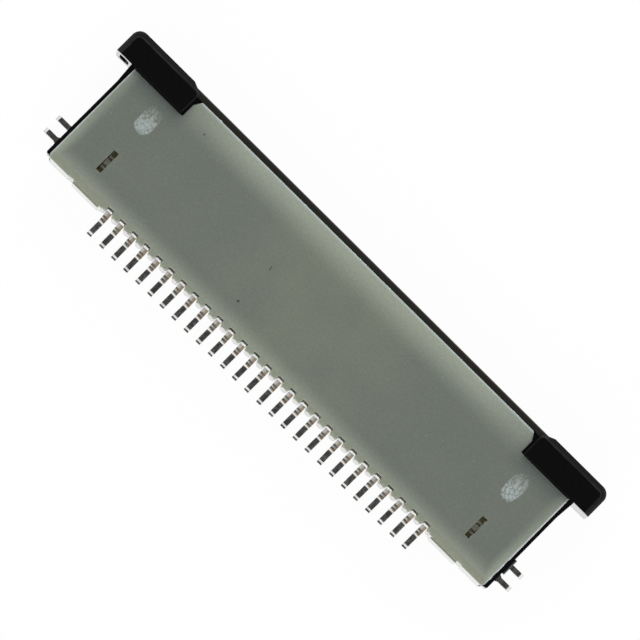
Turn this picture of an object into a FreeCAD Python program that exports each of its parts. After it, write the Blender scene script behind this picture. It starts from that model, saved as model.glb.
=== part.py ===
import FreeCAD, Part
import math
import os
import re
import Sketcher

# A right-angle flat-cable connector for a printed board, 27 contacts at a 1.00 mm pitch, with a
# slide lock. X runs along the row of contacts, the cable goes in from -Y, the solder tails stand
# at +Y and the board is the plane z = 0. The origin is the middle of the footprint on the board.

Vector = FreeCAD.Vector
doc = FreeCAD.newDocument("flat_cable_connector")
doc.UndoMode = 0

# Driving dimensions, in millimetres

SIZES = {
    # the row and the cable that it takes
    "pitch": 1.0,
    "contact_count": 27,
    "cable_thickness": 0.3,
    "cable_room": 0.08,
    "insertion_depth": 5.2,
    # the moulded housing, from its walls
    "housing_depth": 8.6,
    "ear_seat": 1.4,
    "end_block": 3.75,
    "mouth_clearance": 0.1,
    "jaw_inset": 0.05,
    "floor_thickness": 0.45,
    "lower_rib": 0.5,
    "upper_rib": 0.3,
    "roof_thickness": 0.45,
    "jaw_corner_across": 0.32,
    "jaw_corner_deep": 0.5,
    "jaw_corner_round": 0.15,
    "back_corner_round": 0.25,
    "top_edge_round": 0.06,
    "lead_in": 0.3,
    # the comb of slots for the contacts
    "slot_clearance": 0.04,
    "slot_front_wall": 0.6,
    "upper_slot_setback": 2.6,
    "rear_notch": 0.42,
    "rib_end_flat": 0.12,
    "rib_short": 0.06,
    "rear_bevel_drop": 0.07,
    # the small ledge beside the row, on the back face
    "ledge_from_end": 2.1,
    "ledge_length": 2.05,
    "ledge_out": 0.09,
    "ledge_height": 2.0,
    "relief_width": 0.4,
    "relief_depth": 0.06,
    # the slot through each end block, which holds the fitting nail
    "window_inset": 2.7,
    "window_length": 1.55,
    "window_from_back": 1.43,
    # the contacts, blanked from sheet
    "contact_thickness": 0.35,
    "beam_setback": 0.85,
    "beam_tip": 0.2,
    "beam_lift": 0.14,
    "beam_waist": 0.25,
    "beam_root": 0.44,
    "bump_setback": 1.95,
    "bump_length": 0.34,
    "bump_slope": 0.75,
    "contact_squeeze": 0.1,
    "bump_round": 0.16,
    "fork_setback": 0.4,
    "fork_round": 0.24,
    "upper_beam": 0.19,
    "upper_beam_setback": 2.75,
    "nib_drop": 0.03,
    "nib_length": 0.4,
    "barb_rise": 0.04,
    "barb_length": 0.35,
    "barb_from_fork": 0.7,
    "spine_height": 0.62,
    "shoulder_round": 0.2,
    "shoulder_from_back": 0.24,
    "leg_width": 0.36,
    "tail_reach": 1.43,
    "foot_thickness": 0.3,
    "foot_length": 1.05,
    "foot_lip_length": 0.12,
    "foot_lip_thickness": 0.15,
    "foot_slope": 0.1,
    "heel_round": 0.18,
    # the fitting nails
    "nail_thickness": 0.32,
    "nail_clearance": 0.02,
    "nail_reach": 1.35,
    "prong_width": 0.33,
    "front_prong_from_back": 2.22,
    "prong_spacing": 1.02,
    "prong_flare": 0.12,
    "prong_tip_round": 0.26,
    "nail_skirt": 0.8,
    "nail_shoulder": 1.85,
    "nail_below_top": 0.45,
    "nail_tab_inset": 0.28,
    "nail_notch": 0.14,
    "nail_notch_depth": 0.2,
    "nail_bend": 0.22,
    # the slide lock
    "slide_clearance": 0.04,
    "slide_travel": 1.2,
    "lip_proud": 0.44,
    "lip_below_top": 0.25,
    "lip_lead_in": 0.12,
    "lip_round": 0.08,
    "tongue_thickness": 0.43,
    "tongue_short": 0.2,
    "tongue_taper": 0.3,
    "tongue_nose": 0.2,
    "ear_proud": 0.1,
    "ear_gap": 0.11,
    "ear_overhang": 1.52,
    "ear_rise": 0.25,
    "ear_bottom": 0.12,
    "ear_corner": 0.6,
    "ear_chamfer_across": 0.72,
    "ear_chamfer_deep": 0.31,
    "ear_bevel_front": 0.35,
    "ear_bevel_outside": 0.29,
    "ear_bevel_drop": 0.1,
    "ear_bevel_round": 0.33,
    "arm_thickness": 0.225,
    "arm_bottom": 0.62,
    "arm_below_top": 0.65,
    "arm_short": 0.13,
    "arm_corner": 0.12,
    "arm_root_extra": 0.1,
    "arm_root_length": 1.2,
    "hook_reach": 0.15,
    "hook_length": 0.5,
    "hook_margin": 0.16,
    "groove_floor_gap": 0.05,
    "arm_boss_out": 0.18,
    "arm_boss_length": 1.1,
    "arm_boss_from_back": 1.52,
    "arm_boss_height": 0.6,
    "arm_boss_round": 0.15,
    "ear_recess_width": 0.7,
    "ear_recess_height": 1.7,
    "ear_recess_depth": 0.15,
    "ear_recess_round": 0.33,
}

# Places and lengths that follow from the driving dimensions, in the same words

PLACES = {
    "row_length": "pitch * (contact_count - 1)",
    "first_contact": "-(row_length) / 2",
    "cable_width": "pitch * (contact_count + 1)",
    "mouth_half": "cable_width / 2 + mouth_clearance",
    "jaw_half": "cable_width / 2 - jaw_inset",
    "end": "mouth_half + end_block",
    "back": "(housing_depth + lip_proud + ear_proud - tail_reach) / 2",
    "front": "back - housing_depth",
    "shoulder": "front + ear_seat",
    "stop": "front + insertion_depth",
    "mouth_floor": "floor_thickness + lower_rib",
    "tongue_bottom": "mouth_floor + cable_thickness + cable_room",
    "tongue_top": "tongue_bottom + tongue_thickness",
    "mouth_roof": "tongue_top + slide_clearance",
    "slot_top": "mouth_roof + upper_rib",
    "top": "slot_top + roof_thickness",
    "slot_width": "contact_thickness + 2 * slot_clearance",
    "rib_end_round": "(pitch - slot_width - rib_end_flat) / 2",
    "notch_front": "back - rear_notch",
    "window_centre": "end - window_inset",
    "window_back": "back - window_from_back",
    "window_front": "window_back - window_length",
    "window_half": "nail_thickness / 2 + nail_clearance",
    "front_prong": "back - front_prong_from_back",
    "back_prong": "front_prong + prong_spacing",
    "skirt_back": "back_prong + prong_width / 2",
    "tongue_half": "mouth_half - slide_clearance",
    "tongue_back": "stop - tongue_short",
    "lip_back": "front - slide_clearance",
    "lip_front": "front - lip_proud",
    "lip_top": "top - lip_below_top",
    "ear_inner": "cable_width / 2 + ear_gap",
    "ear_outer": "end + ear_overhang",
    "ear_front": "lip_front - ear_proud",
    "ear_back": "shoulder - slide_clearance",
    "ear_top": "top + ear_rise",
    "ear_brow": "ear_top - ear_bevel_drop",
    "arm_inner": "end + slide_clearance",
    "arm_outer": "arm_inner + arm_thickness",
    "arm_back": "back - arm_short",
    "arm_top": "top - arm_below_top",
    "hook_bottom": "arm_bottom + hook_margin",
    "hook_top": "arm_top - hook_margin",
    "hook_front": "arm_back - hook_length",
    "groove_front": "hook_front - slide_travel - slide_clearance",
    "nail_top": "top - nail_below_top",
    "bump_top": "tongue_bottom - cable_thickness + contact_squeeze",
    "beam_bottom": "floor_thickness + beam_lift",
    "fork": "stop + fork_setback",
    "blade_bottom": "floor_thickness + slot_clearance",
    "blade_top": "slot_top - slot_clearance - barb_rise / 2",
    "blade_back": "notch_front - slot_clearance",
    "leg_top": "back - shoulder_from_back",
    "foot_end": "back + tail_reach",
    "foot_start": "foot_end - foot_length",
    "leg_lean": "(foot_start - leg_top) / (blade_top - foot_thickness)",
    "heel": "foot_start - leg_width + leg_lean * foot_thickness",
}


def spelled_out(words):
    """The expression with each named place written out in driving dimensions."""
    def swap(match):
        name = match.group(0)
        if name in PLACES:
            return "(" + spelled_out(PLACES[name]) + ")"
        if name not in SIZES:
            raise KeyError(name)
        return "Sizes." + name
    return re.sub(r"[a-z][a-z_]*", swap, words)


sheet = doc.addObject("Spreadsheet::Sheet", "Sizes")
for row, (name, value) in enumerate(SIZES.items(), start=1):
    sheet.set(f"A{row}", name)
    sheet.set(f"B{row}", str(value))
    sheet.setAlias(f"B{row}", name)
doc.recompute()


def measure(words):
    """The value, in millimetres, that an expression has in this document."""
    return float(sheet.evalExpression(spelled_out(words)))


# Helpers for the bodies

def make_body(name):
    body = doc.addObject("PartDesign::Body", name)
    body.Label = name
    return body


def origin_feature(body, role):
    return next(item for item in body.Origin.OriginFeatures if item.Role == role)


def make_sketch(body, name, role, offset="0"):
    """An empty sketch on one of the body's planes, moved along the plane's normal."""
    sketch = body.newObject("Sketcher::SketchObject", f"{body.Name}_{name}_sketch")
    sketch.AttachmentSupport = [(origin_feature(body, role), "")]
    sketch.MapMode = "FlatFace"
    sketch.setExpression("AttachmentOffset.Base.z", spelled_out(offset))
    return sketch


def rounding(before, spot, after, radius):
    """The arc that rounds a corner, where it starts and ends, and whether it turns left."""
    back_way = (before - spot).normalize()
    on_way = (after - spot).normalize()
    middle_way = (back_way + on_way).normalize()
    half_angle = back_way.getAngle(on_way) / 2
    start = spot + back_way * (radius / math.tan(half_angle))
    end = spot + on_way * (radius / math.tan(half_angle))
    crown = spot + middle_way * (radius / math.sin(half_angle) - radius)
    left = on_way.cross(back_way).z > 0
    arc = Part.Arc(start, crown, end) if left else Part.Arc(end, crown, start)
    return arc, start, end, left


def draw(sketch, corners):
    """A closed line through the corners, each at two distances from the origin.

    A third entry is the radius that rounds the corner; the corner itself stays as a point.
    """
    spots = [Vector(measure(corner[0]), measure(corner[1]), 0) for corner in corners]
    count = len(corners)
    starts, ends, arcs = list(spots), list(spots), {}
    for step, corner in enumerate(corners):
        if len(corner) == 3:
            arc, ends[step], starts[step], left = rounding(
                spots[step - 1], spots[step], spots[(step + 1) % count], measure(corner[2]))
            arcs[step] = (arc, left)
    first = sketch.GeometryCount
    sketch.addGeometry([Part.LineSegment(starts[step], ends[(step + 1) % count])
                        for step in range(count)], False)
    fixed, sized = [], []
    for step, corner in enumerate(corners):
        line, before = first + step, first + (step - 1) % count
        held = line
        if step in arcs:
            arc, left = arcs[step]
            bend = sketch.addGeometry(arc, False)
            held = sketch.addGeometry(Part.Point(spots[step]), True)
            fixed.append(Sketcher.Constraint("Tangent", before, 2, bend, 1 if left else 2))
            fixed.append(Sketcher.Constraint("Tangent", bend, 2 if left else 1, line, 1))
            fixed.append(Sketcher.Constraint("PointOnObject", held, 1, before))
            fixed.append(Sketcher.Constraint("PointOnObject", held, 1, line))
            radius = measure(corner[2])
            sized.append((Sketcher.Constraint("Radius", bend, radius), corner[2]))
        else:
            fixed.append(Sketcher.Constraint("Coincident", before, 2, line, 1))
        spot = spots[step]
        sized.append((Sketcher.Constraint("DistanceX", -1, 1, held, 1, spot.x), corner[0]))
        sized.append((Sketcher.Constraint("DistanceY", -1, 1, held, 1, spot.y), corner[1]))
    sketch.addConstraint(fixed)
    numbers = sketch.addConstraint([constraint for constraint, words in sized])
    for number, (constraint, words) in zip(numbers, sized):
        sketch.setExpression(f"Constraints[{number}]", spelled_out(words))


def rectangle(across_low, across_high, up_low, up_high):
    return [(across_low, up_low), (across_high, up_low), (across_high, up_high), (across_low, up_high)]


def mirrored(corners):
    """The same outline on the other side of the part's middle plane."""
    return [(f"-({across})", *rest) for across, *rest in reversed(corners)]


def extrude(body, kind, name, sketch, length, symmetric=False):
    """A pad or a pocket from the sketch, which must change the body's volume."""
    before = body.Shape.Volume if body.Tip else 0
    feature = body.newObject(f"PartDesign::{kind}", f"{body.Name}_{name}")
    feature.Profile = sketch
    feature.setExpression("Length", spelled_out(length))
    if symmetric:
        feature.SideType = "Symmetric"
    doc.recompute()
    change = body.Shape.Volume - before
    if (change <= 0) == (kind == "Pad"):
        raise RuntimeError(f"{feature.Name} changes the volume by {change}")
    return feature


def add_slab(body, name, outlines, low, high):
    """Material between two heights, in plan."""
    sketch = make_sketch(body, name, "XY_Plane", low)
    for corners in outlines:
        draw(sketch, corners)
    return extrude(body, "Pad", name, sketch, f"{high} - ({low})")


def cut_slab(body, name, outlines, low, high):
    """A recess between two heights, in plan."""
    sketch = make_sketch(body, name, "XY_Plane", high)
    for corners in outlines:
        draw(sketch, corners)
    return extrude(body, "Pocket", name, sketch, f"{high} - ({low})")


def add_taper(body, name, lower, upper, low, high):
    """Material that goes from one outline to another between two heights."""
    base = make_sketch(body, f"{name}_lower", "XY_Plane", low)
    draw(base, lower)
    crown = make_sketch(body, f"{name}_upper", "XY_Plane", high)
    draw(crown, upper)
    loft = body.newObject("PartDesign::AdditiveLoft", f"{body.Name}_{name}")
    loft.Profile = base
    loft.Sections = [crown]
    loft.Ruled = True
    doc.recompute()
    if loft.Shape.isNull() or not loft.Shape.isValid():
        raise RuntimeError(f"{loft.Name} has no sound shape")
    return loft


def edges_where(shape, test):
    """Names of the edges whose centre and first direction pass the test."""
    return [f"Edge{number}" for number, edge in enumerate(shape.Edges, start=1)
            if test(edge.CenterOfMass, edge.tangentAt(edge.FirstParameter))]


def near(first, second, reach=0.002):
    return abs(first - second) < reach


def dress_edges(body, kind, name, size_name, size, test):
    """A fillet or chamfer on the body's edges that pass the test."""
    base = body.Tip
    names = edges_where(base.Shape, test)
    if not names:
        raise RuntimeError(f"no edge for {name}")
    feature = body.newObject(f"PartDesign::{kind}", f"{body.Name}_{name}")
    feature.Base = (base, names)
    feature.setExpression(size_name, spelled_out(size))
    doc.recompute()
    if feature.Shape.isNull() or not feature.Shape.isValid():
        raise RuntimeError(f"{feature.Name} has no sound shape")
    return feature


def round_edges(body, name, radius, test):
    return dress_edges(body, "Fillet", name, "Radius", radius, test)


def repeat_in_row(body, name, original):
    """The same feature at every contact, starting from the first at -X."""
    pattern = body.newObject("PartDesign::LinearPattern", f"{body.Name}_{name}")
    pattern.Originals = [original]
    pattern.Direction = (origin_feature(body, "X_Axis"), [""])
    pattern.setExpression("Length", spelled_out("row_length"))
    pattern.setExpression("Occurrences", spelled_out("contact_count"))
    body.Tip = pattern
    doc.recompute()
    return pattern


# The moulded housing

def make_housing():
    """One moulding: a floor and a roof joined by two end blocks, with a comb of slots between."""
    housing = make_body("housing")
    right_side = [
        ("jaw_half - jaw_corner_across", "front", "jaw_corner_round"),
        ("jaw_half", "front + jaw_corner_deep", "jaw_corner_round"),
        ("jaw_half", "shoulder"),
        ("end", "shoulder"),
        ("end", "back", "back_corner_round"),
    ]
    add_slab(housing, "block", [mirrored(right_side) + right_side], "0", "top")

    # a softly broken edge all round the top, which falls a little towards the back
    height = measure("top")
    round_edges(housing, "top_edge", "top_edge_round", lambda at, way: near(at.z, height))
    bevel = make_sketch(housing, "rear_bevel", "YZ_Plane")
    draw(bevel, [
        ("notch_front", "top"),
        ("back", "top - rear_bevel_drop"),
        ("back", "top"),
    ])
    extrude(housing, "Pocket", "rear_bevel", bevel, "2 * (end)", symmetric=True)

    ledge_outline = rectangle("end - ledge_from_end - ledge_length", "end - ledge_from_end",
                              "back", "back + ledge_out")
    add_slab(housing, "back_ledges", [ledge_outline, mirrored(ledge_outline)], "0", "ledge_height")
    relief_outline = rectangle("end - ledge_from_end", "end - ledge_from_end + relief_width",
                               "back - relief_depth", "back + ledge_out")
    cut_slab(housing, "back_reliefs", [relief_outline, mirrored(relief_outline)], "0", "top")

    # the mouth for the cable, open to the front, with a lead-in along the lower jaw
    mouth = rectangle("-(mouth_half)", "mouth_half", "lip_front", "stop")
    cut_slab(housing, "mouth", [mouth], "mouth_floor", "mouth_roof")
    lead = make_sketch(housing, "lead_in", "YZ_Plane")
    draw(lead, [
        ("front", "mouth_floor - lead_in"),
        ("front + lead_in", "mouth_floor"),
        ("front", "mouth_floor"),
    ])
    extrude(housing, "Pocket", "lead_in", lead, "2 * (mouth_half)", symmetric=True)

    # slots for the nails: up through each end block, wider below, with channels for the legs
    window = rectangle("window_centre - window_half", "window_centre + window_half",
                       "window_front", "window_back")
    cut_slab(housing, "windows", [window, mirrored(window)], "0", "top")
    skirt = rectangle("window_centre - window_half", "window_centre + window_half",
                      "window_front", "skirt_back + nail_clearance")
    cut_slab(housing, "nail_pockets", [skirt, mirrored(skirt)], "0", "nail_skirt + nail_clearance")
    legs = []
    for prong in ("front_prong", "back_prong"):
        leg = rectangle("window_centre", "end + ear_overhang",
                        f"{prong} - prong_width / 2 - nail_clearance",
                        f"{prong} + prong_width / 2 + nail_clearance")
        legs += [leg, mirrored(leg)]
    cut_slab(housing, "leg_channels", legs, "0", "nail_thickness + nail_clearance")

    # a groove in each end face, where the slide lock's hook runs up to its stop
    groove = rectangle("end - hook_reach - groove_floor_gap", "end + ear_overhang",
                       "groove_front", "back + ledge_out")
    cut_slab(housing, "hook_grooves", [groove, mirrored(groove)],
             "hook_bottom - slide_clearance", "hook_top + slide_clearance")

    # one slot for each contact: channels for its two beams, and a notch for its tail with a
    # rounded rib on either side
    slot = make_sketch(housing, "slot", "YZ_Plane", "first_contact")
    draw(slot, [
        ("front + slot_front_wall", "floor_thickness"),
        ("back + ledge_out", "floor_thickness"),
        ("back + ledge_out", "slot_top"),
        ("front + upper_slot_setback", "slot_top"),
        ("front + upper_slot_setback", "mouth_roof - slide_clearance"),
        ("front + slot_front_wall", "mouth_roof - slide_clearance"),
    ])
    channel = extrude(housing, "Pocket", "slot", slot, "slot_width", symmetric=True)
    repeat_in_row(housing, "slots", channel)
    half_notch = [
        ("first_contact + slot_width / 2", "notch_front"),
        ("first_contact + slot_width / 2", "back - rib_short", "rib_end_round"),
        ("first_contact + pitch / 2", "back - rib_short"),
        ("first_contact + pitch / 2", "back + ledge_out"),
    ]
    other_half = [(f"2 * (first_contact) - ({across})", *rest)
                  for across, *rest in reversed(half_notch)]
    notch = cut_slab(housing, "tail_notch", [half_notch + other_half], "0", "top")
    repeat_in_row(housing, "tail_notches", notch)
    return housing


# The contacts

def contact_outline():
    """The blank from the side: a fork that opens to the mouth, a spine and a gull-wing tail."""
    bump_rear = "front + bump_setback + bump_length / 2"
    bump_fore = "front + bump_setback - bump_length / 2"
    upper_tip = "front + upper_beam_setback"
    upper_underside = "blade_top - upper_beam"
    barb = "fork + barb_from_fork"
    return [
        # the lower beam, a spring, and the foot of the spine behind it
        ("front + beam_setback", "beam_bottom"),
        (f"{bump_rear} + bump_slope", "beam_bottom"),
        ("fork", "blade_bottom"),
        ("blade_back", "blade_bottom"),
        ("blade_back", "blade_top - spine_height"),
        # the leg and foot of the tail
        ("leg_top - leg_width + leg_lean * spine_height", "blade_top - spine_height"),
        ("heel", "0", "heel_round"),
        # the foot ends in the thin lip where it was snapped off its strip
        ("foot_end", "0"),
        ("foot_end", "foot_lip_thickness"),
        ("foot_end - foot_lip_length", "foot_lip_thickness"),
        ("foot_end - foot_lip_length - foot_slope", "foot_thickness"),
        ("foot_start", "foot_thickness", "heel_round"),
        ("leg_top", "blade_top", "shoulder_round"),
        # a barb that bites into the slot's roof
        (f"{barb} + barb_length", "blade_top"),
        (barb, "blade_top + barb_rise"),
        (barb, "blade_top"),
        # the upper beam, which backs the tongue of the lock
        (upper_tip, "blade_top"),
        (upper_tip, f"{upper_underside} - nib_drop"),
        (f"{upper_tip} + nib_length / 2", f"{upper_underside} - nib_drop"),
        (f"{upper_tip} + nib_length", upper_underside),
        ("fork", upper_underside, "fork_round"),
        # back along the lower beam's top to the raised point that touches the cable
        ("fork", "blade_bottom + beam_root", "fork_round"),
        (f"{bump_rear} + bump_slope", "beam_bottom + beam_waist"),
        (bump_rear, "bump_top", "bump_round"),
        (bump_fore, "bump_top", "bump_round"),
        ("front + beam_setback", "beam_bottom + beam_tip"),
    ]


def make_contact(number):
    """One contact, at its own place in the row."""
    contact = make_body(f"contact_{number:02d}")
    blank = make_sketch(contact, "blank", "YZ_Plane", f"first_contact + pitch * {number - 1}")
    draw(blank, contact_outline())
    extrude(contact, "Pad", "blank", blank, "contact_thickness", symmetric=True)
    return contact


# The fitting nails

def make_nail(name, side):
    """A bent plate: upright in its end block, with two legs that reach out along the board."""
    def across(words):
        return words if side > 0 else f"-({words})"

    nail = make_body(name)
    upright = make_sketch(nail, "plate", "YZ_Plane", across("window_centre"))
    plate_front = "window_front + nail_clearance"
    plate_back = "window_back - nail_clearance"
    notch_low = "window_front + window_length / 3"
    notch_high = "window_back - window_length / 3"
    draw(upright, [
        (plate_front, "0"),
        ("skirt_back", "0"),
        ("skirt_back", "nail_skirt"),
        (plate_back, "nail_skirt"),
        (plate_back, "nail_shoulder"),
        (f"{plate_back} - nail_tab_inset", "nail_shoulder"),
        (f"{plate_back} - nail_tab_inset", "nail_top"),
        (f"{notch_high} + nail_notch / 2", "nail_top"),
        (notch_high, "nail_top - nail_notch_depth"),
        (f"{notch_high} - nail_notch / 2", "nail_top"),
        (f"{notch_low} + nail_notch / 2", "nail_top"),
        (notch_low, "nail_top - nail_notch_depth"),
        (f"{notch_low} - nail_notch / 2", "nail_top"),
        (f"{plate_front} + nail_tab_inset", "nail_top"),
        (f"{plate_front} + nail_tab_inset", "nail_shoulder"),
        (plate_front, "nail_shoulder"),
    ])
    extrude(nail, "Pad", "plate", upright, "nail_thickness", symmetric=True)

    tip = "end + nail_reach"
    front_leg = rectangle("window_centre", tip,
                          "front_prong - prong_width / 2", "front_prong + prong_width / 2")
    back_leg_side = [
        (tip, "prong_width / 2"),
        ("arm_outer + 2 * prong_flare", "prong_width / 2"),
        ("arm_outer", "prong_width / 2 + prong_flare"),
        ("end + nail_clearance", "prong_width / 2 + prong_flare"),
        ("end + nail_clearance", "prong_width / 2"),
        ("window_centre", "prong_width / 2"),
    ]
    back_leg = [(away, f"back_prong + {half}") for away, half in back_leg_side]
    back_leg += [(away, f"back_prong - ({half})") for away, half in reversed(back_leg_side)]
    outlines = [front_leg, back_leg]
    if side < 0:
        outlines = [mirrored(corners) for corners in outlines]
    add_slab(nail, "legs", outlines, "0", "nail_thickness")

    inner_face = side * measure("window_centre - nail_thickness / 2")
    outer_tip = side * measure(tip)
    thickness = measure("nail_thickness")
    round_edges(nail, "bend", "nail_bend", lambda at, way: near(at.x, inner_face)
                and near(at.z, 0) and near(abs(way.y), 1))
    round_edges(nail, "tips", "prong_tip_round", lambda at, way: near(at.x, outer_tip)
                and near(at.z, thickness) and near(abs(way.y), 1))
    return nail


# The slide lock

def make_slider():
    """One moulding: a lip with a tongue behind it, an ear at each end and an arm behind each ear."""
    slider = make_body("slider")
    ear = [
        ("ear_inner", "ear_front + ear_chamfer_deep"),
        ("ear_inner + ear_chamfer_across", "ear_front"),
        ("ear_outer", "ear_front", "ear_corner"),
        ("ear_outer", "ear_back"),
        ("ear_inner", "ear_back"),
    ]
    add_slab(slider, "ears", [ear, mirrored(ear)], "ear_bottom", "ear_brow")
    crown_outer = "ear_outer - ear_bevel_outside"
    crown_front = "ear_front + ear_bevel_front"
    crown = [
        ("ear_inner", crown_front, "ear_bevel_round"),
        (crown_outer, crown_front, "ear_corner - ear_bevel_outside"),
        (crown_outer, "ear_back"),
        ("ear_inner", "ear_back"),
    ]
    add_taper(slider, "right_ear_bevel", ear, crown, "ear_brow", "ear_top")
    add_taper(slider, "left_ear_bevel", mirrored(ear), mirrored(crown), "ear_brow", "ear_top")

    # the lip stands in front of the roof and its root ties the two ears together
    lip = make_sketch(slider, "lip", "YZ_Plane")
    draw(lip, [
        ("lip_front", "tongue_bottom + lip_lead_in"),
        ("lip_front + lip_lead_in", "tongue_bottom"),
        ("ear_back", "tongue_bottom"),
        ("ear_back", "tongue_top"),
        ("lip_back", "tongue_top"),
        ("lip_back", "lip_top"),
        ("lip_front", "lip_top", "lip_round"),
    ])
    extrude(slider, "Pad", "lip", lip, "2 * (ear_inner + ear_chamfer_across)", symmetric=True)

    # the tongue slides between the cable and the contacts' upper beams, and thins at its end
    tongue = make_sketch(slider, "tongue", "YZ_Plane")
    draw(tongue, [
        ("lip_back", "tongue_bottom"),
        ("tongue_back - tongue_taper", "tongue_bottom"),
        ("tongue_back", "tongue_top - tongue_nose"),
        ("tongue_back", "tongue_top"),
        ("lip_back", "tongue_top"),
    ])
    extrude(slider, "Pad", "tongue", tongue, "2 * (tongue_half)", symmetric=True)

    arm = [
        ("arm_inner", "ear_back - arm_thickness"),
        ("arm_outer + arm_root_extra", "ear_back - arm_thickness"),
        ("arm_outer + arm_root_extra", "ear_back"),
        ("arm_outer", "ear_back + arm_root_length"),
        ("arm_outer", "arm_back", "arm_corner"),
        ("arm_inner", "arm_back"),
    ]
    add_slab(slider, "arms", [arm, mirrored(arm)], "arm_bottom", "arm_top")
    hook = [
        ("end - hook_reach", "hook_front"),
        ("arm_inner + arm_thickness / 2", "hook_front"),
        ("arm_inner + arm_thickness / 2", "arm_back"),
        ("arm_inner", "arm_back"),
        ("end - hook_reach", "hook_front + hook_length / 2"),
    ]
    add_slab(slider, "hooks", [hook, mirrored(hook)], "hook_bottom", "hook_top")

    # a low boss on the outside of one arm, and a shallow recess in the back of the other ear
    boss_back = "back - arm_boss_from_back"
    boss = rectangle("arm_outer - arm_corner", "arm_outer + arm_boss_out",
                     f"{boss_back} - arm_boss_length", boss_back)
    add_slab(slider, "arm_boss", [mirrored(boss)], "arm_bottom", "arm_bottom + arm_boss_height")
    boss_edge = -measure("arm_outer + arm_boss_out")
    boss_top = measure("arm_bottom + arm_boss_height")
    round_edges(slider, "arm_boss_edge", "arm_boss_round", lambda at, way: near(at.x, boss_edge)
                and near(at.z, boss_top) and near(abs(way.y), 1))
    middle_across = "(arm_outer + ear_outer) / 2"
    middle_height = "(ear_bottom + ear_top) / 2"
    recess = make_sketch(slider, "ear_recess", "XZ_Plane", "-(ear_back)")
    corners = rectangle(f"{middle_across} - ear_recess_width / 2",
                        f"{middle_across} + ear_recess_width / 2",
                        f"{middle_height} - ear_recess_height / 2",
                        f"{middle_height} + ear_recess_height / 2")
    draw(recess, [(*corner, "ear_recess_round") for corner in corners])
    extrude(slider, "Pocket", "ear_recess", recess, "2 * ear_recess_depth", symmetric=True)
    return slider


subparts = [make_housing(), make_slider()]
subparts += [make_contact(number) for number in range(1, int(measure("contact_count")) + 1)]
subparts += [make_nail("fitting_nail_left", -1), make_nail("fitting_nail_right", 1)]

doc.recompute()
for item in doc.Objects:
    if {"Invalid", "Error"} & set(item.State):
        raise RuntimeError(f"{item.Name} failed: {item.State}")
for body in subparts:
    if body.Shape.isNull() or not body.Shape.isValid() or len(body.Shape.Solids) != 1:
        raise RuntimeError(f"{body.Label} is not one sound solid")

os.makedirs("parts", exist_ok=True)
for body in subparts:
    body.Shape.exportStep(f"parts/{body.Label}.step")
    box = body.Shape.BoundBox
    print(f"{body.Label}: {body.Shape.Volume:.4f} mm3, x {box.XMin:.3f} to {box.XMax:.3f}, "
          f"y {box.YMin:.3f} to {box.YMax:.3f}, z {box.ZMin:.3f} to {box.ZMax:.3f}")
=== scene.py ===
# %% [markdown]
# # A flat-cable connector, finished for its portrait
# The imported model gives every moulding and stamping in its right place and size. This lesson adds
# what the eye expects on top: broken edges, resin and tin that answer the light as the real ones
# do, thin flash, a pair of scuffed patches and a few specks. We start by loading that model. Its
# solids stay fixed, so each finish is fitted to them and never the other way round.

# %% Load the frame
import math

import bmesh
import bpy
from mathutils import Matrix, Vector


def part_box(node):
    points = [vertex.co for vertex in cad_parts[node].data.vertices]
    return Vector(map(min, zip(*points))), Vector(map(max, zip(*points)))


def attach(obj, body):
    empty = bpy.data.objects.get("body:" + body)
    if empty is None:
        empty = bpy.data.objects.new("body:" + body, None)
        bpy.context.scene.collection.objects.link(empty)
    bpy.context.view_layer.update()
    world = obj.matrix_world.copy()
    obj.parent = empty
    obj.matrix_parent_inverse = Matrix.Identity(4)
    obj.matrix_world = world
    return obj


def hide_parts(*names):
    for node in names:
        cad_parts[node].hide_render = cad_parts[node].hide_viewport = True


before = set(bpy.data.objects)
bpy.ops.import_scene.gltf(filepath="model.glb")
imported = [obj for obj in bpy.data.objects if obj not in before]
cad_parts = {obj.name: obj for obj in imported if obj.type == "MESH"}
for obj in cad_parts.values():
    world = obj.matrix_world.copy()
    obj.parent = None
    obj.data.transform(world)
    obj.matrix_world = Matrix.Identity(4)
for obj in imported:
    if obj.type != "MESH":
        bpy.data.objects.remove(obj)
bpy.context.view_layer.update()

MM = 0.001
housing_low, housing_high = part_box("housing")
lock_low, lock_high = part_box("slider")
lock_corners = [corner.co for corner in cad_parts["slider"].data.vertices]
contacts = sorted(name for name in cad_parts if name.startswith("contact_"))
nails = sorted(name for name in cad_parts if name.startswith("fitting_nail"))
print("contacts:", len(contacts), "nails:", len(nails))

# %% [markdown]
# ## Small tools for node trees
# Materials and Geometry Nodes are both trees of nodes. A tree could be wired in the editor by
# hand, but a script is easier to read, repeat and correct. One helper makes a node, sets it up and
# fills or links its inputs, and a few short ones build on it for arithmetic, soft steps and mixes.

# %% Node helpers
def put(tree, kind, inputs=None, **settings):
    """A new node with its settings made and its inputs linked or filled."""
    node = tree.nodes.new(kind)
    for name, value in settings.items():
        setattr(node, name, value)
    for key, value in (inputs or {}).items():
        if isinstance(value, bpy.types.NodeSocket):
            tree.links.new(value, node.inputs[key])
        else:
            node.inputs[key].default_value = value
    return node


def calc(tree, operation, *values):
    """The result of one arithmetic step."""
    return put(tree, "ShaderNodeMath", dict(enumerate(values)), operation=operation).outputs[0]


def soft_step(tree, value, low, high, to_low=0.0, to_high=1.0):
    """A value that moves gently from one level to another between two places."""
    inputs = {"Value": value, "From Min": low, "From Max": high, "To Min": to_low, "To Max": to_high}
    return put(tree, "ShaderNodeMapRange", inputs, interpolation_type="SMOOTHSTEP").outputs[0]


def mix_colour(tree, share, first, second, blend="MIX"):
    """Two colours mixed by a share."""
    inputs = {0: share, 6: first, 7: second}
    return put(tree, "ShaderNodeMix", inputs, data_type="RGBA", blend_type=blend).outputs[2]


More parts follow.
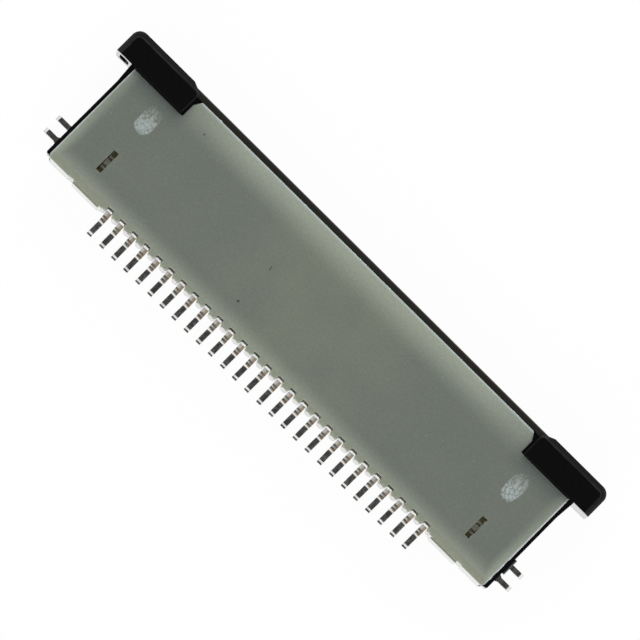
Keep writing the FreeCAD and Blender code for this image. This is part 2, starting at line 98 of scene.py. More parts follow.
def grain(tree, place, scale, detail=2.0, roughness=0.5):
    """A cloudy value about one half, with a number of clouds for each millimetre."""
    inputs = {"Vector": place, "Scale": scale, "Detail": detail, "Roughness": roughness}
    return put(tree, "ShaderNodeTexNoise", inputs).outputs[0]


def from_screen(red, green, blue):
    """The linear colour that shows as these 0 to 255 screen values."""
    def linear(value):
        share = value / 255
        return share / 12.92 if share <= 0.04045 else ((share + 0.055) / 1.055) ** 2.4
    return (linear(red), linear(green), linear(blue), 1.0)


def new_finish(name):
    """An empty material, with its shader and the place on the piece in millimetres."""
    material = bpy.data.materials.new(name)
    material.use_nodes = True
    tree = material.node_tree
    shader = tree.nodes["Principled BSDF"]
    own = put(tree, "ShaderNodeTexCoord").outputs["Object"]
    place = put(tree, "ShaderNodeVectorMath", {0: own, "Scale": 1 / MM},
                operation="SCALE").outputs[0]
    axes = put(tree, "ShaderNodeSeparateXYZ", {0: place}).outputs
    return material, tree, shader, place, axes


def raise_bumps(tree, shader, height, depth):
    """Small relief on a surface, with its full depth in metres."""
    bump = put(tree, "ShaderNodeBump", {"Height": height, "Distance": depth, "Strength": 1.0})
    tree.links.new(bump.outputs[0], shader.inputs["Normal"])


print("node helpers ready")

# %% [markdown]
# ## The camera
# The picture was taken with a long lens from almost straight above, turned by 45 degrees on the
# table, leaning a little towards the solder tails and a trace towards one end. The camera could be
# turned by hand until it fits, but three angles and a distance say the same thing and can be
# corrected one by one. Its axes are built from them: one along the row of contacts, one across it,
# and one back to the lens.

# %% Camera
VIEW_DISTANCE = 0.42
VIEW_LEAN = math.radians(5.8)
VIEW_SWAY = math.radians(-0.86)
VIEW_TURN = math.radians(135.13)
VIEW_WIDTH = 0.03747
AIM = Vector((-0.155, -0.66, 1.25)) * MM

away = Vector((math.tan(VIEW_SWAY), math.tan(VIEW_LEAN), 1)).normalized()
along = Vector((away.z, 0, -away.x)).normalized()
across = away.cross(along)
right = along * math.cos(VIEW_TURN) - across * math.sin(VIEW_TURN)
upward = along * math.sin(VIEW_TURN) + across * math.cos(VIEW_TURN)
lens = bpy.data.cameras.new("portrait_camera")
lens.lens = lens.sensor_width * VIEW_DISTANCE / VIEW_WIDTH
lens.clip_start = 0.001
camera = bpy.data.objects.new("portrait_camera", lens)
bpy.context.scene.collection.objects.link(camera)
turned = Matrix((right, upward, away)).transposed().to_4x4()
camera.matrix_world = Matrix.Translation(AIM + away * VIEW_DISTANCE) @ turned
bpy.context.scene.camera = camera
print("lens in mm:", round(lens.lens, 1))

# %% [markdown]
# ## Floor and light
# Small bright parts are photographed inside a tent of white cloth, with the lens looking in
# through a hole at the top. So the light comes from low all round, and it is dark straight
# overhead. That is why flat tin looks grey in such a picture while every bend flashes white. The
# world does the same here: dim overhead, bright towards the horizon, with two broad lamps to help,
# which are kept out of reflections, or they would glare on the flat roof from some sides.
# The floor is white paper, shown at its full white to the lens and to reflections, and it still
# takes a trace of the part's shadow.

# %% Floor and light
scene = bpy.context.scene
scene.view_settings.view_transform = "Standard"

world = bpy.data.worlds.new("light_tent")
world.use_nodes = True
scene.world = world
tent = world.node_tree
direction = put(tent, "ShaderNodeTexCoord").outputs["Generated"]
height = put(tent, "ShaderNodeSeparateXYZ", {0: direction}).outputs[2]
brightness = soft_step(tent, height, 0.66, 0.89, 1.2, 0.06)
tent.links.new(brightness, tent.nodes["Background"].inputs["Strength"])
tent.nodes["Background"].inputs["Color"].default_value = (1.0, 1.0, 1.0, 1.0)

FLOOR_HALF = 0.6
PAPER_GLOW = 0.96

paper = bpy.data.materials.new("white_paper")
paper.use_nodes = True
tree = paper.node_tree
tree.nodes.remove(tree.nodes["Principled BSDF"])
cloth = put(tree, "ShaderNodeBsdfDiffuse", {"Color": (0.9, 0.9, 0.9, 1.0)}).outputs[0]
glow = put(tree, "ShaderNodeEmission", {"Color": (1.0, 1.0, 1.0, 1.0), "Strength": 1.0}).outputs[0]
rays = put(tree, "ShaderNodeLightPath").outputs
seen = calc(tree, "MAXIMUM", rays["Is Camera Ray"], rays["Is Glossy Ray"])
seen = calc(tree, "MAXIMUM", seen, rays["Is Transmission Ray"])
share = calc(tree, "MULTIPLY", seen, PAPER_GLOW)
both = put(tree, "ShaderNodeMixShader", {0: share, 1: cloth, 2: glow}).outputs[0]
tree.links.new(both, tree.nodes["Material Output"].inputs["Surface"])

sheet = bpy.data.meshes.new("floor")
sheet.from_pydata([(-FLOOR_HALF, -FLOOR_HALF, 0), (FLOOR_HALF, -FLOOR_HALF, 0),
                   (FLOOR_HALF, FLOOR_HALF, 0), (-FLOOR_HALF, FLOOR_HALF, 0)], [], [(0, 1, 2, 3)])
floor = bpy.data.objects.new("floor", sheet)
floor.data.materials.append(paper)
scene.collection.objects.link(floor)


def soft_lamp(name, place, size, power):
    """A broad square lamp that faces the part and isn't mirrored in it."""
    data = bpy.data.lights.new(name, "AREA")
    data.size = size
    data.energy = power
    lamp = bpy.data.objects.new(name, data)
    lamp.location = place
    lamp.rotation_euler = (-Vector(place)).to_track_quat("-Z", "Y").to_euler()
    lamp.visible_glossy = False
    scene.collection.objects.link(lamp)


soft_lamp("lamp_tails", (-0.10, 0.30, 0.16), 0.18, 0.5)
soft_lamp("lamp_mouth", (0.12, -0.30, 0.16), 0.18, 0.5)

# %% [markdown]
# ## From a CAD solid to a finished piece
# A solid from CAD has perfectly sharp edges, and its faces come as loose triangles. Real edges
# are never that sharp, and the thin bright line along an edge is much of what makes a picture look
# real. So a copy of each solid is joined up, its flat faces are made whole again, and its sharp
# edges are marked, along with the gentler creases round its highest face. The Bevel modifier
# breaks the marked edges by a few hundredths of a millimetre, Weighted Normal keeps the large
# faces flat, and the result becomes a plain mesh. The edges could be faked in the material, but
# then the exported mesh would lose them.

# %% Dressing helpers
JOIN = 0.0005 * MM
FLAT = math.radians(0.5)
SHARP = math.radians(28)
CREASE = math.radians(8)


def joined_copy(node, name, shift=(0, 0, 0)):
    """A copy of a CAD solid with whole faces and marked edges, moved by a shift in metres."""
    shape = bmesh.new()
    shape.from_mesh(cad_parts[node].data)
    bmesh.ops.remove_doubles(shape, verts=shape.verts, dist=JOIN)
    bmesh.ops.dissolve_limit(shape, angle_limit=FLAT, verts=shape.verts, edges=shape.edges)
    highest = max(corner.co.z for corner in shape.verts) - JOIN
    weight = shape.edges.layers.float.new("bevel_weight_edge")
    for edge in shape.edges:
        turn = edge.calc_face_angle(0)
        on_top = min(corner.co.z for corner in edge.verts) > highest
        edge[weight] = 1.0 if turn > SHARP or (on_top and turn > CREASE) else 0.0
    bmesh.ops.translate(shape, verts=shape.verts, vec=shift)
    mesh = bpy.data.meshes.new(name)
    shape.to_mesh(mesh)
    shape.free()
    piece = bpy.data.objects.new(name, mesh)
    scene.collection.objects.link(piece)
    return piece


def made_plain(piece):
    """The piece with what its modifiers made, as a plain mesh."""
    bpy.context.view_layer.update()
    evaluated = piece.evaluated_get(bpy.context.evaluated_depsgraph_get())
    mesh = bpy.data.meshes.new_from_object(evaluated)
    piece.modifiers.clear()
    piece.data = mesh
    mesh.name = piece.name
    return piece


def break_edges(piece, width, segments=2):
    """Sharp edges broken by a small round, with normals that keep the large faces flat."""
    piece.data.shade_smooth()
    bevel = piece.modifiers.new("broken_edges", "BEVEL")
    bevel.width = width
    bevel.segments = segments
    bevel.limit_method = "WEIGHT"
    bevel.use_clamp_overlap = True
    weighted = piece.modifiers.new("flat_faces", "WEIGHTED_NORMAL")
    weighted.mode = "FACE_AREA"
    weighted.weight = 60
    weighted.keep_sharp = True
    return made_plain(piece)


def finish(piece, material, body, slot, *nodes):
    """The piece gets its material, rides on its body and stands for its solids."""
    piece.data.materials.clear()
    piece.data.materials.append(material)
    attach(piece, body)
    if nodes:
        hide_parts(*nodes)
    corners = [v.co for v in piece.data.vertices]
    print(piece.name, "faces:", len(piece.data.polygons),
          "mm:", [round((max(c[a] for c in corners) - min(c[a] for c in corners)) / MM, 2)
                  for a in range(3)])


print("dressing helpers ready")

# %% [markdown]
# ## The housing's resin
# The housing is moulded in a natural, slightly see-through resin. Light soaks in at its rims, so
# it looks lighter along the back, the front and the ends, greyer in the middle and a trace more
# olive behind the tails' notches. Beside the ears the resin is painted darker and bluer, as their
# shade. Its thin top edges catch a cool line of light. That could be left to subsurface scattering
# alone, but at this size it would need many samples, so the colour itself follows the distance to
# each rim, in millimetres on the piece.

# %% Resin colour
resin, tree, shader, place, (x_mm, y_mm, z_mm) = new_finish("grey_green_resin")
LEDGE_REACH = 0.09
BACK = housing_high.y / MM - LEDGE_REACH
FRONT = housing_low.y / MM
END = housing_high.x / MM
TOP = housing_high.z / MM
MOUTH_HALF = 14.0
EAR_SHADE = (lock_low.y / MM + 1.7, lock_low.y / MM + 3.5)

to_back = calc(tree, "SUBTRACT", BACK, y_mm)
to_front = calc(tree, "SUBTRACT", y_mm, FRONT)
side = calc(tree, "ABSOLUTE", x_mm)
to_end = calc(tree, "SUBTRACT", END, side)
clouds = grain(tree, place, 0.35, 3.0)
speckle = grain(tree, place, 7.0, 3.0, 0.65)

RESIN_CORE = from_screen(106, 113, 105)
RESIN_WARM = from_screen(119, 124, 112)
RESIN_RIM = from_screen(154, 160, 146)
RESIN_COOL = from_screen(176, 190, 192)
RESIN_PAINTED_SHADE = from_screen(86, 93, 93)
RESIN_OLIVE = from_screen(124, 124, 98)
warmth = calc(tree, "MULTIPLY", soft_step(tree, side, 2.5, 8.0, 1.0, 0.35),
              soft_step(tree, clouds, 0.2, 0.7, 0.4, 0.95))
colour = mix_colour(tree, warmth, RESIN_CORE, RESIN_WARM)
# painted shade beside the ears: the resin turns darker and bluer just behind them
painted_ear_shade = calc(tree, "MULTIPLY", soft_step(tree, y_mm, *EAR_SHADE, 0.75, 0.0),
                soft_step(tree, side, MOUTH_HALF - 0.8, MOUTH_HALF + 0.4))
colour = mix_colour(tree, painted_ear_shade, colour, RESIN_PAINTED_SHADE)
near_back = soft_step(tree, to_back, 0.0, 1.5, 0.75, 0.0)
near_front = calc(tree, "MULTIPLY", soft_step(tree, to_front, 0.0, 2.1, 0.95, 0.0),
                  soft_step(tree, side, 9.0, 15.0, 1.0, 0.5))
near_end = calc(tree, "MULTIPLY", soft_step(tree, to_end, 0.0, 0.85, 1.0, 0.0),
                soft_step(tree, to_back, 0.0, 6.0, 0.9, 0.45))
rim = calc(tree, "MAXIMUM", calc(tree, "MAXIMUM", near_back, near_front), near_end)
colour = mix_colour(tree, rim, colour, RESIN_RIM)
behind_notches = soft_step(tree, to_back, 0.38, 0.48, 0.25, 0.0)
colour = mix_colour(tree, behind_notches, colour, RESIN_OLIVE)
edge_line = calc(tree, "MAXIMUM", soft_step(tree, to_end, 0.02, 0.13, 0.65, 0.0),
                 soft_step(tree, to_front, 0.03, 0.2, 0.6, 0.0))
edge_line = calc(tree, "MULTIPLY", edge_line, soft_step(tree, z_mm, TOP - 0.6, TOP - 0.3))
colour = mix_colour(tree, edge_line, colour, RESIN_COOL)
shade = soft_step(tree, speckle, 0.25, 0.75, 0.93, 1.07)
grey = put(tree, "ShaderNodeCombineColor", {0: shade, 1: shade, 2: shade}).outputs[0]
colour = mix_colour(tree, 1.0, colour, grey, "MULTIPLY")
print("resin colour nodes:", len(tree.nodes))

# %% [markdown]
# ## Lint, scuffs and specks
# Pale flecks of lint lie on the roof in drifts. Near each end an oval patch has been scuffed,
# streaky at the front and flaking at the back, and a few specks of dirt are moulded in. A painted
# image would show them too, but nodes stay sharp at any distance: a Voronoi pattern makes the
# flecks and the cracks between the flakes, noise draws the streaks out, and each speck is a small
# round spot at a place measured on the part. Last come the skin's gloss and its fine relief.

# %% Resin marks
LINT_CELLS, FLAKE_CELLS = 2.2, 3.6
cells = put(tree, "ShaderNodeTexVoronoi",
            {"Vector": place, "Scale": LINT_CELLS, "Randomness": 1.0}).outputs
fleck = calc(tree, "MULTIPLY", soft_step(tree, cells["Distance"], 0.03, 0.16, 0.2, 0.0),
             soft_step(tree, grain(tree, place, 0.6), 0.5, 0.62))
colour = mix_colour(tree, fleck, colour, RESIN_COOL)

SCUFF_IN = END - 2.7
SCUFF_HALF = (0.57, 0.98)
SCUFF_SQUARENESS = 2.6
SCUFF_PALE = from_screen(178, 189, 189)
SCUFF_SHARE = 0.64
scuff_y = soft_step(tree, x_mm, -1.0, 1.0, BACK - 5.52, BACK - 5.60)
scuff_across = calc(tree, "DIVIDE", calc(tree, "SUBTRACT", side, SCUFF_IN), SCUFF_HALF[0])
scuff_along = calc(tree, "DIVIDE", calc(tree, "SUBTRACT", y_mm, scuff_y), SCUFF_HALF[1])
distance = calc(tree, "ADD", *(calc(tree, "POWER", calc(tree, "ABSOLUTE", reach), SCUFF_SQUARENESS)
                               for reach in (scuff_across, scuff_along)))
distance = calc(tree, "POWER", distance, 1 / SCUFF_SQUARENESS)
drawn_out = put(tree, "ShaderNodeVectorMath", {0: place, 1: (1.5, 0.6, 1.0)},
                operation="MULTIPLY").outputs[0]
streaks = grain(tree, drawn_out, 3.4, 3.0, 0.7)
ragged_by = calc(tree, "MULTIPLY", calc(tree, "SUBTRACT", streaks, 0.5), 0.5)
distance = calc(tree, "ADD", distance, ragged_by)
inside = soft_step(tree, distance, 0.86, 1.06, 1.0, 0.0)
flake_edges = put(tree, "ShaderNodeTexVoronoi",
                  {"Vector": place, "Scale": FLAKE_CELLS, "Randomness": 1.0},
                  feature="DISTANCE_TO_EDGE").outputs["Distance"]
flake_edges = calc(tree, "ADD", flake_edges, calc(tree, "MULTIPLY", streaks, 0.3))
cracks = soft_step(tree, flake_edges, 0.13, 0.27, 0.1, 1.0)
fading = calc(tree, "ADD", scuff_along, calc(tree, "MULTIPLY", streaks, 3.0))
fading = soft_step(tree, fading, 0.6, 1.9, 0.1, 1.0)
on_top = soft_step(tree, z_mm, TOP - 0.05, TOP - 0.02)
scuffed = calc(tree, "MULTIPLY", calc(tree, "MULTIPLY", inside, cracks),
               calc(tree, "MULTIPLY", fading, on_top))
colour = mix_colour(tree, calc(tree, "MULTIPLY", scuffed, SCUFF_SHARE), colour, SCUFF_PALE)

# each speck: place along the row, distance from the back, radius
SPECKS = ((12.26, 7.33, 0.06), (3.99, 4.43, 0.05), (4.01, 4.57, 0.05), (3.99, 1.79, 0.08))
dirt = 0.0
for speck_x, from_back, radius in SPECKS:
    spot = put(tree, "ShaderNodeVectorMath", {0: place, 1: (speck_x, BACK - from_back, TOP)},
               operation="DISTANCE")
    dark = soft_step(tree, spot.outputs["Value"], radius * 0.5, radius * 1.4, 0.75, 0.0)
    dirt = calc(tree, "MAXIMUM", dirt, dark)
colour = mix_colour(tree, dirt, colour, from_screen(45, 42, 36))

tree.links.new(colour, shader.inputs["Base Color"])
roughness = soft_step(tree, calc(tree, "ADD", calc(tree, "MULTIPLY", speckle, 0.3), scuffed),
                      0.0, 1.2, 0.24, 0.6)
tree.links.new(roughness, shader.inputs["Roughness"])
shader.inputs["Subsurface Weight"].default_value = 0.12
shader.inputs["Subsurface Radius"].default_value = (1.0, 0.95, 0.7)
shader.inputs["Subsurface Scale"].default_value = 0.0008
shader.inputs["Coat Weight"].default_value = 1.0
shader.inputs["Coat Roughness"].default_value = 0.1
relief = calc(tree, "ADD", calc(tree, "MULTIPLY", speckle, 0.25), scuffed)
raise_bumps(tree, shader, relief, 0.012 * MM)
print("resin nodes:", len(tree.nodes))

# %% [markdown]
# ## The lock's black resin
# The slide lock is moulded in glass-filled black resin. It is nearly black, with a satin skin
# that turns grey where it meets the light at a low angle, along the bevels and on the steep faces.
# A plain dark gloss would look like paint, so a very fine grain breaks the reflection up. The ears
# are rubbed duller on top, and their faces towards the housing are matt, because a mirrored floor
# would shine through the narrow gap there. The lip along the mouth has gathered a little dust.

# %% Lock skin
black, tree, shader, place, (x_mm, y_mm, z_mm) = new_finish("black_filled_resin")
fibres = grain(tree, place, 9.0, 4.0, 0.7)
tint = soft_step(tree, fibres, 0.3, 0.7)
colour = mix_colour(tree, tint, from_screen(8, 8, 8), from_screen(14, 13, 13))
shader.inputs["Specular IOR Level"].default_value = 0.2
shader.inputs["Coat Roughness"].default_value = 0.08
shader.inputs["Coat IOR"].default_value = 1.4
raise_bumps(tree, shader, fibres, 0.002 * MM)

ear_top = lock_high.z / MM
crown = [corner for corner in lock_corners if corner.z / MM > ear_top - 0.01 and corner.x > 0]
crown_in, crown_out = min(c.x for c in crown) / MM, max(c.x for c in crown) / MM
crown_front, crown_back = min(c.y for c in crown) / MM, max(c.y for c in crown) / MM
side = calc(tree, "ABSOLUTE", x_mm)
behind = soft_step(tree, y_mm, crown_back - 0.03, crown_back - 0.01)
beyond_end = soft_step(tree, side, END, END + 0.05)
above_roof = soft_step(tree, z_mm, TOP - 0.02, TOP + 0.02)
rubbed = calc(tree, "MULTIPLY", above_roof,
              calc(tree, "SUBTRACT", 1.0, calc(tree, "MULTIPLY", behind, beyond_end)))
facing_housing = calc(tree, "MULTIPLY", behind, calc(tree, "SUBTRACT", 1.0, beyond_end))
glossy = calc(tree, "SUBTRACT", 1.0, facing_housing)
coat = calc(tree, "MULTIPLY", soft_step(tree, rubbed, 0.0, 1.0, 1.0, 0.12), glossy)
tree.links.new(coat, shader.inputs["Coat Weight"])
roughness = soft_step(tree, fibres, 0.2, 0.8, 0.16, 0.26)
tree.links.new(calc(tree, "MAXIMUM", roughness, facing_housing), shader.inputs["Roughness"])
dusty = calc(tree, "MULTIPLY", soft_step(tree, z_mm, TOP - 0.1, TOP - 0.05, 1.0, 0.0),
             soft_step(tree, side, MOUTH_HALF, MOUTH_HALF + 0.6, 1.0, 0.0))
colour = mix_colour(tree, dusty, colour, from_screen(42, 41, 37))
print("lock skin nodes:", len(tree.nodes))

# %% [markdown]
# ## The painted highlight round each ear's top
# A faint lighter line is painted where the flat top of an ear meets its bevels, as the highlight
# that crease catches. It follows a rectangle with rounded corners, whose sides are read from the
# solid's own corners. A stroke drawn on an image would need the ear unwrapped. Here the distance
# beyond a smaller rectangle does it: where that distance equals the corners' radius, the line runs,
# and noise breaks it unevenly.

# %% Painted crease highlight
CROWN_ROUND = 0.32
beside = calc(tree, "ABSOLUTE", calc(tree, "SUBTRACT", side, (crown_in + crown_out) / 2))
beside = calc(tree, "SUBTRACT", beside, (crown_out - crown_in) / 2 - CROWN_ROUND)
before = calc(tree, "SUBTRACT", crown_front + CROWN_ROUND, y_mm)
beyond = put(tree, "ShaderNodeCombineXYZ", {0: calc(tree, "MAXIMUM", beside, 0.0),
                                            1: calc(tree, "MAXIMUM", before, 0.0)}).outputs[0]
reach = put(tree, "ShaderNodeVectorMath", {0: beyond}, operation="LENGTH").outputs["Value"]
off_line = calc(tree, "ABSOLUTE", calc(tree, "SUBTRACT", reach, CROWN_ROUND))
# painted highlight: a lighter line along the crease round each ear's flat top
crease_highlight = calc(tree, "MULTIPLY", soft_step(tree, off_line, 0.02, 0.07, 1.0, 0.0),
            soft_step(tree, z_mm, ear_top - 0.03, ear_top - 0.01))
crease_highlight = calc(tree, "MULTIPLY", crease_highlight, soft_step(tree, grain(tree, place, 1.2), 0.3, 0.6, 0.4, 1.0))
colour = mix_colour(tree, crease_highlight, colour, from_screen(40, 40, 43))
tree.links.new(colour, shader.inputs["Base Color"])
print("lock nodes with the worn line:", len(tree.nodes))

# %% [markdown]
# ## Tin on the stamped contacts
# A contact is punched from a sheet as thick as its tail is wide, so what we see from above is the
# cut edge. A punched edge has two zones: one half is burnished and takes the tin well, the other
# half is torn, rougher and lets the brownish copper alloy through. The finish finds where it is
# across the strip from the pitch of the row, so every tail gets its own warm half. The tin on the
# leg is painted darker as shade, and a few dark bands of reflection are painted across the leg,
# stronger on the torn half. The nails are plated alike, but deep in their slots their colour is
# painted with the slot's shade and the brownish light bounced from the resin walls, and there the
# finish is less of a metal.

# %% Tin finish
first_low, first_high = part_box(contacts[0])
last_low, last_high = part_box(contacts[-1])
first_x = (first_low.x + first_high.x) / 2
pitch = ((last_low.x + last_high.x) / 2 - first_x) / (len(contacts) - 1)
GREY_TIN, BRIGHT_TIN = (0.60, 0.60, 0.58, 1.0), (0.80, 0.80, 0.78, 1.0)
PAINTED_LEG_SHADE, TORN_COPPER = (0.38, 0.38, 0.36, 1.0), (0.31, 0.23, 0.145, 1.0)
PAINTED_BAND_DARK = (0.025, 0.022, 0.018, 1.0)
SLOT_HEAD_SHADE, SLOT_SHOULDER_BOUNCE = (0.52, 0.49, 0.38, 1.0), (1.0, 0.86, 0.40, 1.0)
# the painted dark reflection bands across the leg: height, half width, strength
PAINTED_REFLECTION_BANDS = ((0.62, 0.15, 0.95), (1.12, 0.15, 0.9), (1.80, 0.05, 0.5))


def tin_finish(name, on_contacts):
    """Tin plating, with torn, brownish cut edges, painted leg shade and painted reflection bands on
    the contacts, and painted shade and bounce light in the nails' slots.
    """
    material, tree, shader, place, (x_mm, y_mm, z_mm) = new_finish(name)
    patches = grain(tree, place, 3.2, 4.0, 0.6)
    fine = grain(tree, place, 14.0, 3.0, 0.7)
    colour = mix_colour(tree, soft_step(tree, patches, 0.35, 0.65), GREY_TIN, BRIGHT_TIN)
    roughness = soft_step(tree, patches, 0.3, 0.7, 0.16, 0.30)
    shader.inputs["Metallic"].default_value = 1.0
    if on_contacts:
        steps = calc(tree, "ADD", calc(tree, "DIVIDE", x_mm, pitch / MM), 100.5)
        offset = calc(tree, "SUBTRACT", calc(tree, "FRACT", steps), 0.5)
        offset = calc(tree, "MULTIPLY", offset, pitch / MM)
        ragged = calc(tree, "MULTIPLY", calc(tree, "SUBTRACT", fine, 0.5), 0.16)
        torn = soft_step(tree, calc(tree, "ADD", offset, ragged), -0.04, 0.02, 1.0, 0.0)
        on_leg = calc(tree, "MULTIPLY", soft_step(tree, z_mm, 0.32, 0.46),
                      soft_step(tree, z_mm, 1.88, 1.97, 1.0, 0.0))
        torn = calc(tree, "MULTIPLY", torn, on_leg)
        # painted shade: the tin on the leg is darkened
        colour = mix_colour(tree, calc(tree, "MULTIPLY", on_leg, 0.8), colour, PAINTED_LEG_SHADE)
        colour = mix_colour(tree, calc(tree, "MULTIPLY", torn, 0.9), colour, TORN_COPPER)
        wander = calc(tree, "MULTIPLY", calc(tree, "SUBTRACT", patches, 0.5), 0.3)
        wander = calc(tree, "ADD", z_mm, wander)
        # painted reflection: dark bands across the leg, stronger on the torn half
        for middle, half, depth in PAINTED_REFLECTION_BANDS:
            away_from = calc(tree, "ABSOLUTE", calc(tree, "SUBTRACT", wander, middle))
            painted_band = soft_step(tree, away_from, half * 0.6, half * 1.2, depth, 0.0)
            painted_band = calc(tree, "MULTIPLY", painted_band, soft_step(tree, torn, 0.0, 1.0, 1.0, 0.65))
            colour = mix_colour(tree, painted_band, colour, PAINTED_BAND_DARK)
        roughness = calc(tree, "ADD", roughness, calc(tree, "MULTIPLY", torn, 0.2))
    else:
        in_slot = soft_step(tree, z_mm, 0.9, 1.3)
        low_shoulder = soft_step(tree, z_mm, 1.9, 2.0, 1.0, 0.0)
        # painted shade and bounce light in the nails' slots: darker tan on the blade head, bright
        # ochre on the low shoulders
        slot_shade_and_bounce = mix_colour(tree, low_shoulder, SLOT_HEAD_SHADE, SLOT_SHOULDER_BOUNCE)
        colour = mix_colour(tree, calc(tree, "MULTIPLY", in_slot, 0.9), colour, slot_shade_and_bounce)
        roughness = calc(tree, "ADD", roughness, calc(tree, "MULTIPLY", in_slot, 0.3))
        tree.links.new(soft_step(tree, in_slot, 0.0, 1.0, 1.0, 0.25), shader.inputs["Metallic"])
    tree.links.new(colour, shader.inputs["Base Color"])
    tree.links.new(roughness, shader.inputs["Roughness"])
    raise_bumps(tree, shader, fine, 0.004 * MM)
    return material


contact_tin = tin_finish("tin_on_contacts", True)
nail_tin = tin_finish("tin_on_nails", False)
print("finishes:", contact_tin.name, nail_tin.name)

# %% [markdown]
# ## Housing and lock
# These two mouldings carry everything else. They could be modelled again here with softer forms,
# but their solids already have the real shape, so they keep it and only get their edges broken, by
# as little as a mould itself rounds them.

# %% Housing and lock
MOULDED_EDGE = 0.02 * MM

housing = break_edges(joined_copy("housing", "housing_moulding"), MOULDED_EDGE)
finish(housing, resin, "connector", "housing_moulding", "housing")
lock = break_edges(joined_copy("slider", "lock_moulding"), MOULDED_EDGE)
finish(lock, black, "slide_lock", "slider_moulding", "slider")

# %% [markdown]
# ## Helpers for Geometry Nodes
# The next two pieces follow a rule, so each grows from a tree of its own. A tree needs a way in, a
# way out and named inputs for its sizes, and that is the same for both, so it is written once. The
# modifier could stay on the piece, but other programs don't know it: each tree ends by making its
# copies real, and the result is kept as a plain mesh.

# %% Tree helpers
def input_socket(tree, name, kind, value):
    """A named input on a Geometry Nodes tree, with its first value."""
    socket = tree.interface.new_socket(name=name, in_out="INPUT", socket_type=kind)
    socket.default_value = value
    return socket


def new_tree(name):
    """An empty Geometry Nodes tree with a geometry input and output."""
    tree = bpy.data.node_groups.new(name, "GeometryNodeTree")
    tree.is_modifier = True
    tree.interface.new_socket(name="Geometry", in_out="INPUT", socket_type="NodeSocketGeometry")
    tree.interface.new_socket(name="Geometry", in_out="OUTPUT", socket_type="NodeSocketGeometry")
    return tree


def close_tree(tree, geometry, material):
    """Copies made real, the material set and the tree's output linked."""
    real = put(tree, "GeometryNodeRealizeInstances", {0: geometry}).outputs[0]
    done = put(tree, "GeometryNodeSetMaterial", {"Geometry": real, "Material": material}).outputs[0]
    put(tree, "NodeGroupOutput", {0: done})


def grow(piece, tree, **values):
    """The tree run on the piece with its inputs set, as a plain mesh."""
    modifier = piece.modifiers.new(tree.name, "NODES")
    modifier.node_group = tree
    for item in tree.interface.items_tree:
        key = item.name.lower().replace(" ", "_")
        if item.in_out == "INPUT" and key in values:
            modifier[item.identifier] = values[key]
    return made_plain(piece)


print("tree helpers ready")

# %% [markdown]
# ## The row of contacts
# All contacts are the same stamping, set into the housing at one pitch. An Array modifier could
# repeat it, but every copy would be perfectly alike. Geometry Nodes place one blank on a line of
# points and give each copy its own small sideways lean beyond the housing, because no real tail
# is perfectly straight.

# %% Row tree
row_tree = new_tree("row_of_stampings")
input_socket(row_tree, "Count", "NodeSocketInt", 3)
input_socket(row_tree, "Pitch", "NodeSocketFloat", 0.001)
input_socket(row_tree, "Start", "NodeSocketFloat", 0.0)
input_socket(row_tree, "Free From", "NodeSocketFloat", 0.0)
input_socket(row_tree, "Lean", "NodeSocketFloat", 0.01)
input_socket(row_tree, "Seed", "NodeSocketInt", 1)
given = put(row_tree, "NodeGroupInput").outputs
step = put(row_tree, "ShaderNodeCombineXYZ", {0: given["Pitch"]}).outputs[0]
start = put(row_tree, "ShaderNodeCombineXYZ", {0: given["Start"]}).outputs[0]
line = put(row_tree, "GeometryNodeMeshLine",
           {"Count": given["Count"], "Start Location": start, "Offset": step}).outputs[0]
least = calc(row_tree, "MULTIPLY", given["Lean"], -1.0)
chance = put(row_tree, "FunctionNodeRandomValue",
             {2: least, 3: given["Lean"], "Seed": given["Seed"]})
marked = put(row_tree, "GeometryNodeStoreNamedAttribute",
             {"Geometry": line, "Name": "lean", "Value": chance.outputs[1]})
placed = put(row_tree, "GeometryNodeInstanceOnPoints",
             {"Points": marked.outputs[0], "Instance": given["Geometry"]}).outputs[0]
row_real = put(row_tree, "GeometryNodeRealizeInstances", {0: placed}).outputs[0]
lean = put(row_tree, "GeometryNodeInputNamedAttribute", {"Name": "lean"},
           data_type="FLOAT").outputs[0]
depth = put(row_tree, "ShaderNodeSeparateXYZ",
            {0: put(row_tree, "GeometryNodeInputPosition").outputs[0]}).outputs[1]
beyond = calc(row_tree, "MAXIMUM", calc(row_tree, "SUBTRACT", depth, given["Free From"]), 0.0)
sideways = calc(row_tree, "MULTIPLY", lean, beyond)
offset = put(row_tree, "ShaderNodeCombineXYZ", {0: sideways}).outputs[0]
bent = put(row_tree, "GeometryNodeSetPosition", {"Geometry": row_real, "Offset": offset}).outputs[0]
close_tree(row_tree, bent, contact_tin)
print("row tree nodes:", len(row_tree.nodes))

# %% Contact row
STAMPED_EDGE = 0.010 * MM
TAIL_LEAN = 0.012
ROW_SEED = 11

row = break_edges(joined_copy(contacts[0], "contact_row", (-first_x, 0, 0)), STAMPED_EDGE)
row = grow(row, row_tree, count=len(contacts), pitch=pitch, start=first_x,
           free_from=BACK * MM, lean=TAIL_LEAN, seed=ROW_SEED)
finish(row, contact_tin, "connector", "contact_plating", *contacts)

# %% [markdown]
# ## Flash along the roof
# Where the halves of a mould meet, a little resin creeps between them and leaves a thin, ragged
# fringe. Here it shows as a pale line on the roof's front edge, wider in some places and gone in
# others. It could be drawn by hand, but noise is better at being irregular: a line of points is
# pushed about by one noise, a second one sets how thick it is, and a round profile makes it solid.
# Its colour is paler and cooler than the moulding behind it, which paints in the bright line of light
# along the roof's front edge, and a third noise makes it milky in places.

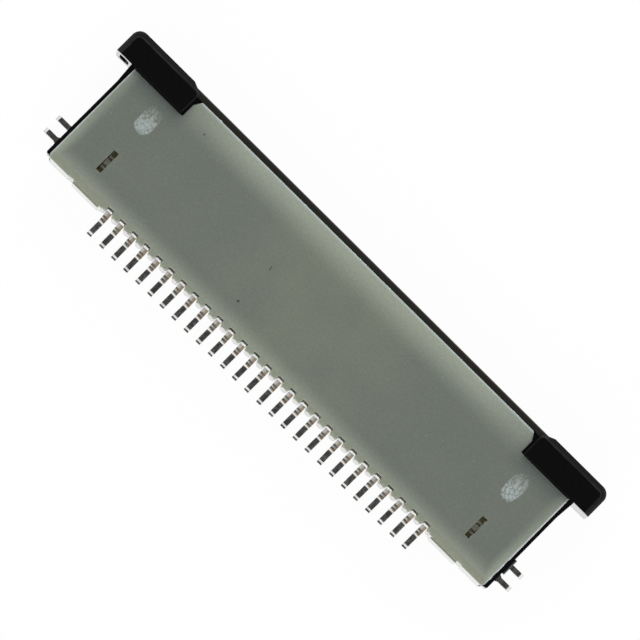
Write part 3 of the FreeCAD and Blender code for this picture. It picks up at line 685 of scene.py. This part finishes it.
# %% Flash tree
flash_tree = new_tree("ragged_flash")
input_socket(flash_tree, "Points", "NodeSocketInt", 100)
input_socket(flash_tree, "Start", "NodeSocketVector", (0.0, 0.0, 0.0))
input_socket(flash_tree, "Step", "NodeSocketFloat", 0.0001)
input_socket(flash_tree, "Ragged", "NodeSocketFloat", 0.00002)
input_socket(flash_tree, "Thickness", "NodeSocketFloat", 0.00002)
input_socket(flash_tree, "Seed", "NodeSocketInt", 1)
given = put(flash_tree, "NodeGroupInput").outputs
step = put(flash_tree, "ShaderNodeCombineXYZ", {0: given["Step"]}).outputs[0]
line = put(flash_tree, "GeometryNodeMeshLine",
           {"Count": given["Points"], "Start Location": given["Start"], "Offset": step}).outputs[0]
spot = put(flash_tree, "GeometryNodeInputPosition").outputs[0]
fine_noise = put(flash_tree, "ShaderNodeTexNoise",
                 {"Vector": spot, "W": given["Seed"], "Scale": 4000.0, "Detail": 3.0},
                 noise_dimensions="4D").outputs[0]
broad_noise = put(flash_tree, "ShaderNodeTexNoise",
                  {"Vector": spot, "W": given["Seed"], "Scale": 700.0, "Detail": 2.0},
                  noise_dimensions="4D").outputs[0]
push = calc(flash_tree, "MULTIPLY", calc(flash_tree, "SUBTRACT", fine_noise, 0.5), given["Ragged"])
push = put(flash_tree, "ShaderNodeCombineXYZ", {1: push}).outputs[0]
pushed = put(flash_tree, "GeometryNodeSetPosition", {"Geometry": line, "Offset": push}).outputs[0]
curve = put(flash_tree, "GeometryNodeMeshToCurve", {"Mesh": pushed}).outputs[0]
swell = calc(flash_tree, "ADD", calc(flash_tree, "MULTIPLY", fine_noise, 0.5), broad_noise)
radius = calc(flash_tree, "MULTIPLY", soft_step(flash_tree, swell, 0.62, 0.95, 0.15, 1.0),
              given["Thickness"])
profile = put(flash_tree, "GeometryNodeCurvePrimitiveCircle",
              {"Resolution": 6, "Radius": 1.0}).outputs[0]
solid = put(flash_tree, "GeometryNodeCurveToMesh",
            {"Curve": curve, "Profile Curve": profile, "Scale": radius, "Fill Caps": True}).outputs[0]

fringe, tree, shader, place, _ = new_finish("pale_flash")
milky = grain(tree, place, 5.0, 3.0, 0.6)
# painted highlight: the fin's pale, cool colour stands for the bright line of light along the front
# edge
colour = mix_colour(tree, soft_step(tree, milky, 0.35, 0.65),
                    from_screen(186, 200, 197), from_screen(206, 222, 223))
tree.links.new(colour, shader.inputs["Base Color"])
tree.links.new(soft_step(tree, milky, 0.3, 0.7, 0.35, 0.55), shader.inputs["Roughness"])
close_tree(flash_tree, solid, fringe)
print("flash tree nodes:", len(flash_tree.nodes))

# %% Flash
FLASH_HALF = (MOUTH_HALF - 0.5) * MM
FLASH_POINTS = 1000
FLASH_THICKNESS = 0.038 * MM
FLASH_RAGGED = 0.2 * MM
FLASH_SEED = 5

flash = bpy.data.objects.new("roof_flash", bpy.data.meshes.new("roof_flash"))
scene.collection.objects.link(flash)
flash = grow(flash, flash_tree, points=FLASH_POINTS, step=2 * FLASH_HALF / (FLASH_POINTS - 1),
             start=(-FLASH_HALF, (FRONT + 0.035) * MM, (TOP - 0.04) * MM),
             ragged=FLASH_RAGGED, thickness=FLASH_THICKNESS, seed=FLASH_SEED)
finish(flash, fringe, "connector", "housing_moulding")

# %% [markdown]
# ## The fitting nails
# Each nail is a bent plate whose notched top shows in the slot of its end block, and whose two legs
# reach out along the board. Two pieces that differ only in their side are no pattern, so a plain
# loop breaks their edges and gives them their tin.

# %% Nails
for name in nails:
    nail = break_edges(joined_copy(name, name + "_plated"), STAMPED_EDGE)
    finish(nail, nail_tin, "connector", "nail_plating", name)
